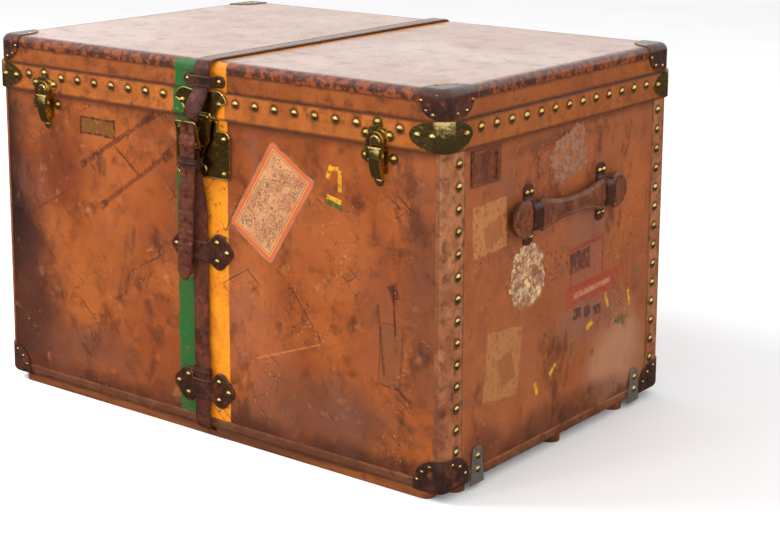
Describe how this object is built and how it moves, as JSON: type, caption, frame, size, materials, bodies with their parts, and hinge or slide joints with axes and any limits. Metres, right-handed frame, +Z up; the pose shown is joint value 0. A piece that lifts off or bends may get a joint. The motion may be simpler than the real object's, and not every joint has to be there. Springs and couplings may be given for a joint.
{
  "type": "steamer trunk",
  "caption": "Leather-covered travel trunk with a hinged lid, lock and hasp, draw latches, a buckled strap, side handles, wooden runners and a lift-out tray",
  "frame": {"origin": "on the floor under the middle runner, below the centre of the leather-covered box", "axes": "+X right along the front, +Y to the back, +Z up"},
  "size_m": [0.8444, 0.5891, 0.5275],
  "materials": {
    "hide": "aged glossy cowhide, orange brown with darker worn patches",
    "edge_hide": "darker rubbed edge leather",
    "cap_hide": "dark chocolate corner leather, polished",
    "strap_hide": "dark reddish brown strap leather, crackled",
    "brass": "polished old brass",
    "steel": "dull nickelled steel",
    "runner_wood": "varnished hardwood runner",
    "board": "poplar board",
    "lining": "plain linen lining"
  },
  "bodies": {
    "root": {"address_frame": "edge_hide", "back_board": "board", "base_binding": "edge_hide", "base_cap_nails": "brass", "base_caps": "cap_hide", "base_slats": "runner_wood", "body_leather": "hide", "body_lining": "lining", "body_nails": "brass", "body_rivets": "brass", "buckle_frame": "brass", "corner_strips": "edge_hide", "floor_board": "board", "front_board": "board", "front_runner": "runner_wood", "handle_loops": "strap_hide", "hinge_body_leaves": "brass", "hinge_pins": "brass", "keeper_low": "strap_hide", "keeper_mid": "strap_hide", "latch_plate_left": "brass", "latch_plate_right": "brass", "left_board": "board", "lock_plate": "brass", "right_board": "board", "slat_brackets": "steel", "strap_loop": "strap_hide", "strap_lower": "strap_hide", "strap_tail": "strap_hide", "tray_ledges": "runner_wood"},
    "lid": {"brass_corners": "brass", "hasp_plate": "brass", "hinge_lid_leaves": "brass", "keeper_top": "strap_hide", "latch_hook_left": "brass", "latch_hook_right": "brass", "lid_back_board": "board", "lid_band": "edge_hide", "lid_band_nails": "brass", "lid_cap_nails": "brass", "lid_caps": "cap_hide", "lid_end_boards": "board", "lid_front_board": "board", "lid_leather_sides": "hide", "lid_leather_top": "hide", "lid_lining": "lining", "lid_rivets": "brass", "lid_top_board": "board", "strap_lid": "strap_hide"},
    "latch_lever_left": {"latch_lever_left": "brass"},
    "latch_lever_right": {"latch_lever_right": "brass"},
    "latch_bail_left": {"latch_bail_left": "brass"},
    "latch_bail_right": {"latch_bail_right": "brass"},
    "hasp": {"hasp_tongue": "brass"},
    "lock_barrel": {"lock_barrel": "brass"},
    "prong": {"buckle_prong": "brass"},
    "handle_left": {"handle_left": "strap_hide"},
    "handle_right": {"handle_right": "strap_hide"},
    "tray": {"tray": "lining", "tray_pulls": "strap_hide"}
  },
  "joints": [
    {"name": "lid_hinge", "type": "hinge", "parent": "root", "child": "lid", "pos_m": [0, 0.282, 0.447], "axis": [-1, 0, 0], "range_deg": [0, 100]},
    {"name": "latch_lever_left_flip", "type": "hinge", "parent": "root", "child": "latch_lever_left", "pos_m": [-0.3035, -0.2825, 0.4435], "axis": [-1, 0, 0], "range_deg": [0, 100]},
    {"name": "latch_bail_left_swing", "type": "hinge", "parent": "latch_lever_left", "child": "latch_bail_left", "pos_m": [-0.3035, -0.284, 0.4295], "axis": [-1, 0, 0], "range_deg": [-100, 0]},
    {"name": "latch_lever_right_flip", "type": "hinge", "parent": "root", "child": "latch_lever_right", "pos_m": [0.3035, -0.2825, 0.4435], "axis": [-1, 0, 0], "range_deg": [0, 100]},
    {"name": "latch_bail_right_swing", "type": "hinge", "parent": "latch_lever_right", "child": "latch_bail_right", "pos_m": [0.3035, -0.284, 0.4295], "axis": [-1, 0, 0], "range_deg": [-100, 0]},
    {"name": "hasp_swing", "type": "hinge", "parent": "lid", "child": "hasp", "pos_m": [0.005, -0.2804, 0.45], "axis": [-1, 0, 0], "range_deg": [0, 3]},
    {"name": "lock_turn", "type": "hinge", "parent": "root", "child": "lock_barrel", "pos_m": [0.005, -0.2755, 0.377], "axis": [0, -1, 0], "range_deg": [0, 90]},
    {"name": "prong_swing", "type": "hinge", "parent": "root", "child": "prong", "pos_m": [-0.006, -0.288, 0.407], "axis": [1, 0, 0], "range_deg": [0, 8]},
    {"name": "handle_left_press", "type": "slide", "parent": "root", "child": "handle_left", "axis": [-1, 0, 0], "range_m": [-0.006, 0]},
    {"name": "handle_right_press", "type": "slide", "parent": "root", "child": "handle_right", "axis": [1, 0, 0], "range_m": [-0.006, 0]},
    {"name": "tray_lift", "type": "slide", "parent": "root", "child": "tray", "axis": [0, 0, 1], "range_m": [0, 0.06]}
  ],
  "couplings": [
    {"joint": "latch_bail_left_swing", "follows": "latch_lever_left_flip", "ratio": -1},
    {"joint": "latch_bail_right_swing", "follows": "latch_lever_right_flip", "ratio": -1}
  ]
}
